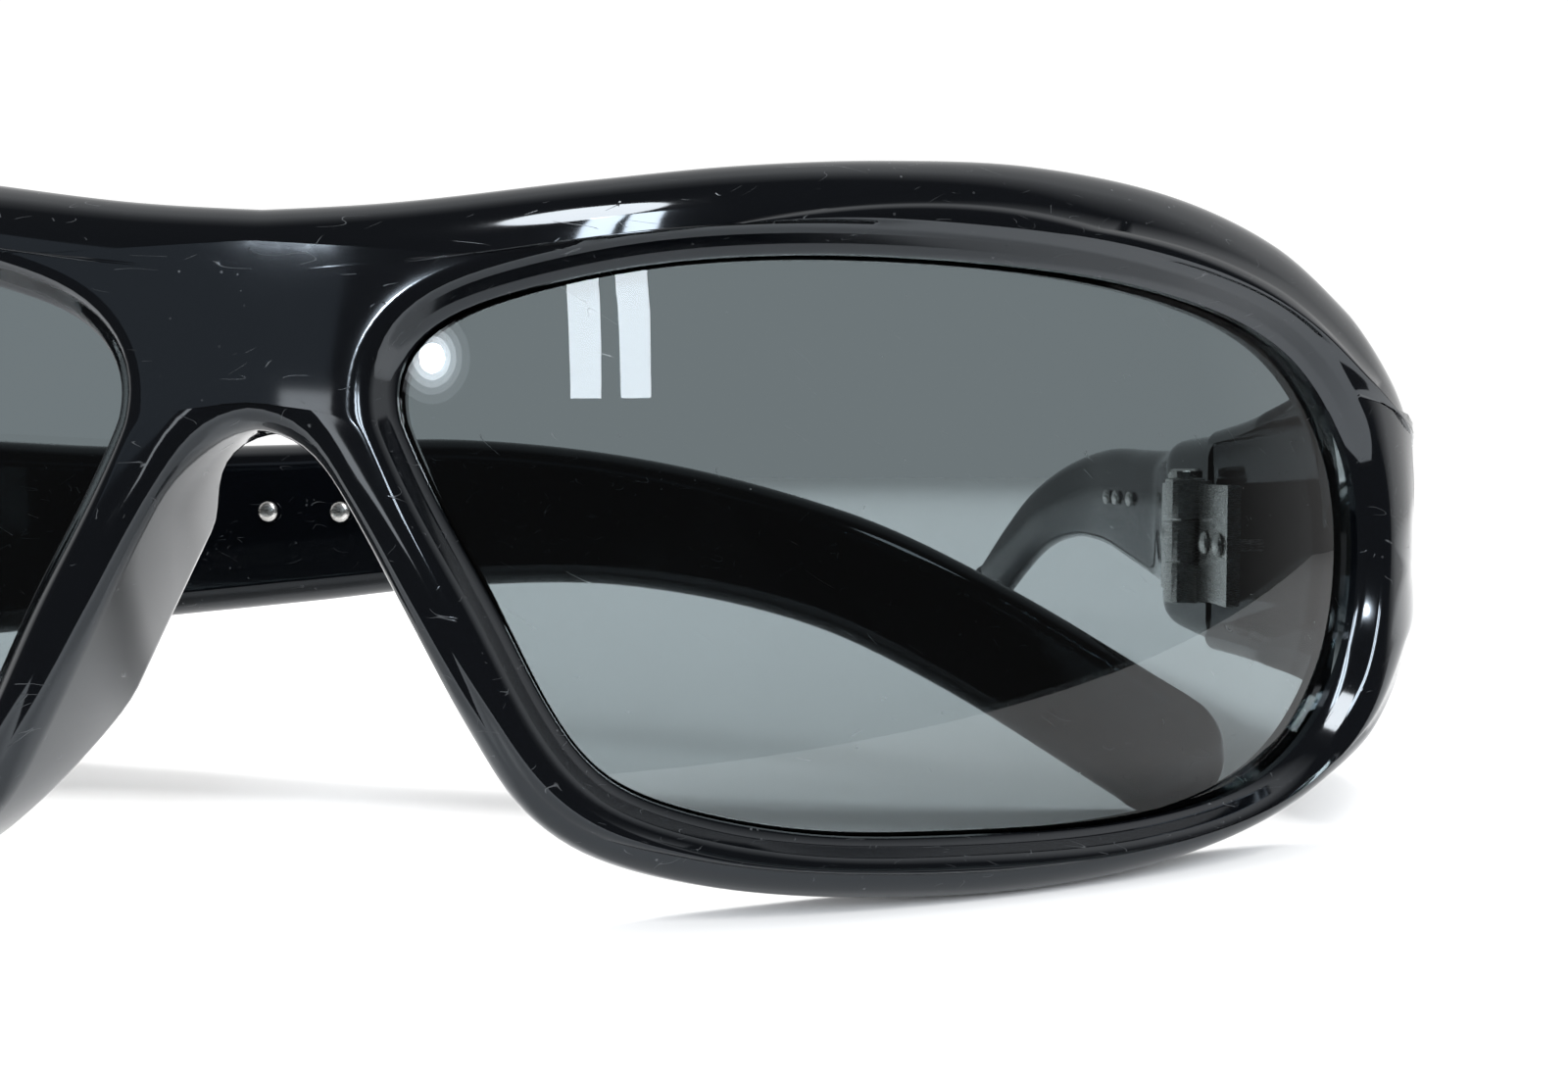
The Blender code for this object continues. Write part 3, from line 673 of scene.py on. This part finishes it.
def build_arm(side, material):
    """One arm skinned along its spine, open or folded as at rest."""
    place, sign = hinge_place(side)
    bm = bmesh.new()
    rings = []
    for point, heading, reach, shrink in arm_stations():
        half = value_at(ARM_HALF_HEIGHT, reach) * shrink
        inner, outer = value_at(ARM_INNER, reach), value_at(ARM_OUTER, reach)
        thin = 0.5 * (1.0 - shrink**0.5) * (outer - inner)
        rise = Vector((-heading.y, heading.x))
        ring = []
        for outward, upward in arm_section(half, inner + thin, outer - thin):
            flat = point + rise * upward
            ring.append(bm.verts.new(place @ (Vector((sign * outward, flat.x, flat.y)) * MM)))
        rings.append(ring)
    skin(bm, rings, closed=False)
    bm.faces.new(rings[0])
    bm.faces.new(rings[-1])
    return piece(f"{side}_arm", bm, material, f"arm_{side}", [f"temple_{side}"])


def build_pin(side, name, body, place, radius, length, head, material):
    """A rivet or stud with a domed head, pointing inwards from the arm's or front's inner face."""
    turn, sign = hinge_place(side)
    if body == "front":
        turn = Matrix.Translation(ORIGIN + Vector((sign * HINGE.x, HINGE.y, HINGE.z)) * MM)
    outward, along, up = place
    stand = (turn @ Matrix.Translation(Vector((sign * outward, along, up)) * MM)
             @ Matrix.Rotation(-sign * math.pi / 2, 4, "Y"))
    profile = [(radius, -length), (radius, 0.0), (head * 0.98, 0.0), (head, 0.05)]
    for k in range(1, PIN_DOME_STEPS + 1):
        angle = math.radians(86.0) * k / PIN_DOME_STEPS
        profile.append((head * math.cos(angle), 0.08 + PIN_DOME_HEIGHT * math.sin(angle)))
    bm = bmesh.new()
    rings = []
    for reach, height in profile:
        rings.append([bm.verts.new(stand @ (Vector((
            reach * math.cos(math.tau * k / PIN_SIDES), reach * math.sin(math.tau * k / PIN_SIDES),
            height)) * MM)) for k in range(PIN_SIDES)])
    skin(bm, rings, closed=False)
    bm.faces.new(rings[0])
    bm.faces.new(rings[-1])
    return piece(f"{name}_fine", bm, material, body, [name])


def build_pins(side, material):
    """The rivets of both hinge leaves and the arm's three studs."""
    for k, along in enumerate(RIVET_PLACES):
        for part, sign in (("temple", 1.0), ("front", -1.0)):
            body = f"arm_{side}" if part == "temple" else "front"
            build_pin(side, f"{part}_hinge_rivet_{side}_{k + 1}", body,
                      (LEAF_NEAR - 0.1, sign * along, 0.0), RIVET_RADIUS, RIVET_LENGTH,
                      RIVET_HEAD, material)
    for k, along in enumerate(STUD_PLACES):
        build_pin(side, f"temple_stud_{side}_{k + 1}", f"arm_{side}",
                  (value_at(ARM_INNER, along) - 0.25, along, STUD_HEIGHT), STUD_RADIUS,
                  STUD_LENGTH, STUD_HEAD, material)


def build_eased(name, body, material):
    """A metal piece on the CAD form, with its edges eased."""
    mesh = frame["nodes"][name].data.copy()
    mesh.name = f"{name}_eased"
    mesh.materials.clear()
    mesh.materials.append(material)
    obj = bpy.data.objects.new(f"{name}_eased", mesh)
    bpy.context.scene.collection.objects.link(obj)
    bm = bmesh.new()
    bm.from_mesh(mesh)
    bmesh.ops.remove_doubles(bm, verts=bm.verts, dist=1e-7)
    bm.to_mesh(mesh)
    bm.free()
    edges = obj.modifiers.new("eased edges", "BEVEL")
    edges.width = EASED_WIDTH * MM
    edges.segments = 3
    edges.limit_method = "ANGLE"
    edges.angle_limit = math.radians(40.0)
    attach(obj, body)
    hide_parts(name)


# ---------------------------------------------------------------- studio

def build_floor():
    """A wide pale table top. Its near edge is in front of the camera, just below the picture."""
    bm = bmesh.new()
    corners = [(-TABLE_HALF_WIDTH, TABLE_EDGE_Y), (TABLE_HALF_WIDTH, TABLE_EDGE_Y),
               (TABLE_HALF_WIDTH, TABLE_FAR_Y), (-TABLE_HALF_WIDTH, TABLE_FAR_Y)]
    bm.faces.new([bm.verts.new((x, y, 0.0)) for x, y in corners])
    mesh = bpy.data.meshes.new("table_top")
    bm.to_mesh(mesh)
    bm.free()
    floor = bpy.data.objects.new("table_top", mesh)
    floor.location.z = cad_low[2] - TABLE_DROP
    bpy.context.scene.collection.objects.link(floor)
    material, _, shader = nodes_of("pale_table")
    shader.inputs["Base Color"].default_value = TABLE_COLOR
    shader.inputs["Roughness"].default_value = TABLE_ROUGHNESS
    mesh.materials.append(material)


def lamp(name, azimuth, elevation, distance, size, radiance, color=(1.0, 1.0, 1.0)):
    """An area light facing the nose; azimuth 0 is straight ahead, 90 the wearer's left."""
    azimuth, elevation = math.radians(azimuth), math.radians(elevation)
    toward = Vector((math.sin(azimuth) * math.cos(elevation),
                     -math.cos(azimuth) * math.cos(elevation), math.sin(elevation)))
    light = bpy.data.lights.new(name, "AREA")
    light.shape = "RECTANGLE" if size[0] != size[1] else "DISK"
    light.size, light.size_y = size
    light.energy = radiance * math.pi * size[0] * size[1]
    light.color = color
    obj = bpy.data.objects.new(name, light)
    obj.location = leaned(0.0, 0.0, 0.0) + toward * distance
    obj.rotation_euler = (-toward).to_track_quat("-Z", "Y").to_euler()
    obj.visible_camera = False
    bpy.context.scene.collection.objects.link(obj)
    return obj


def build_world():
    """White surroundings, and a dim room in front for the gloss to reflect."""
    world = bpy.data.worlds.new("studio")
    world.use_nodes = True
    bpy.context.scene.world = world
    tree = world.node_tree
    backdrop = tree.nodes["Background"]
    rays = new(tree, "ShaderNodeLightPath")
    place = new(tree, "ShaderNodeTexCoord")
    axes = new(tree, "ShaderNodeSeparateXYZ")
    tree.links.new(place.outputs["Generated"], axes.inputs["Vector"])
    room = ramp(tree, axes.outputs["Y"], -0.25, 0.1, 0.10, 1.0)
    glossy = new(tree, "ShaderNodeMix", data_type="FLOAT")
    tree.links.new(rays.outputs["Is Glossy Ray"], glossy.inputs["Factor"])
    glossy.inputs["A"].default_value = WORLD_STRENGTH
    tree.links.new(room, glossy.inputs["B"])
    tree.links.new(glossy.outputs["Result"], backdrop.inputs["Strength"])
    backdrop.inputs["Color"].default_value = (1.0, 1.0, 1.0, 1.0)


def build_lights():
    """Ceiling panel, a pair of tubes, a lamp with its halo, and the walls the gloss shows."""
    lamp("ceiling_panel", 6.0, 54.0, 1.2, (0.30, 0.30), 16.0)
    lamp("tube_a", 10.2, 31.0, 1.5, (0.08, 0.90), 26.0, COOL)
    lamp("tube_b", 15.2, 31.0, 1.5, (0.08, 0.90), 26.0, COOL)
    lamp("small_lamp", -19.0, 26.0, 1.5, (0.20, 0.05), 30.0, COOL)
    lamp("pale_wall", -15.5, 6.5, 1.2, (0.11, 0.32), 4.0)
    lamp("dim_wall", -30.0, 22.0, 1.6, (0.9, 0.7), 0.35, (0.75, 0.87, 1.0))
    for k, (size, radiance) in enumerate(LAMP_DISCS):
        lamp(f"lamp_{k}", -4.6, 17.2, 1.5 + 0.01 * k, (size, size), radiance, COOL)
    back = lamp("overhead_back", 178.0, 58.0, 1.3, (0.36, 0.36), 40.0)
    back.visible_glossy = False


def build_camera():
    """Close in front of the nose, a little to the wearer's left, square to the front."""
    camera = bpy.data.cameras.new("camera")
    camera.sensor_width = CAMERA_SENSOR
    camera.lens = CAMERA_LENS
    camera.clip_start = CAMERA_CLIP
    obj = bpy.data.objects.new("camera", camera)
    obj.location = leaned(*CAMERA_PLACE)
    obj.rotation_euler = (math.radians(90.0) - LEAN, 0.0, 0.0)
    bpy.context.scene.collection.objects.link(obj)
    bpy.context.scene.camera = obj


def main():
    bpy.context.scene.view_settings.view_transform = "Standard"
    black = gloss_black("gloss_black_nylon", GLOSS_IOR)
    smoke, metal = smoke_lens(), steel()
    # The arms get a copy of the gloss black with a weaker reflection, as painted shade
    shaded_arm_black = gloss_black("arm_black_nylon", ARM_IOR)
    build_front(black)
    for side in ("left", "right"):
        build_lens(side, smoke)
        build_arm(side, shaded_arm_black)
    for side in ("left", "right"):
        build_pins(side, metal)
        build_eased(f"front_hinge_{side}", "front", metal)
        build_eased(f"hinge_screw_{side}", "front", metal)
        build_eased(f"temple_hinge_{side}", f"arm_{side}", metal)
    build_floor()
    build_world()
    build_lights()
    build_camera()


main()
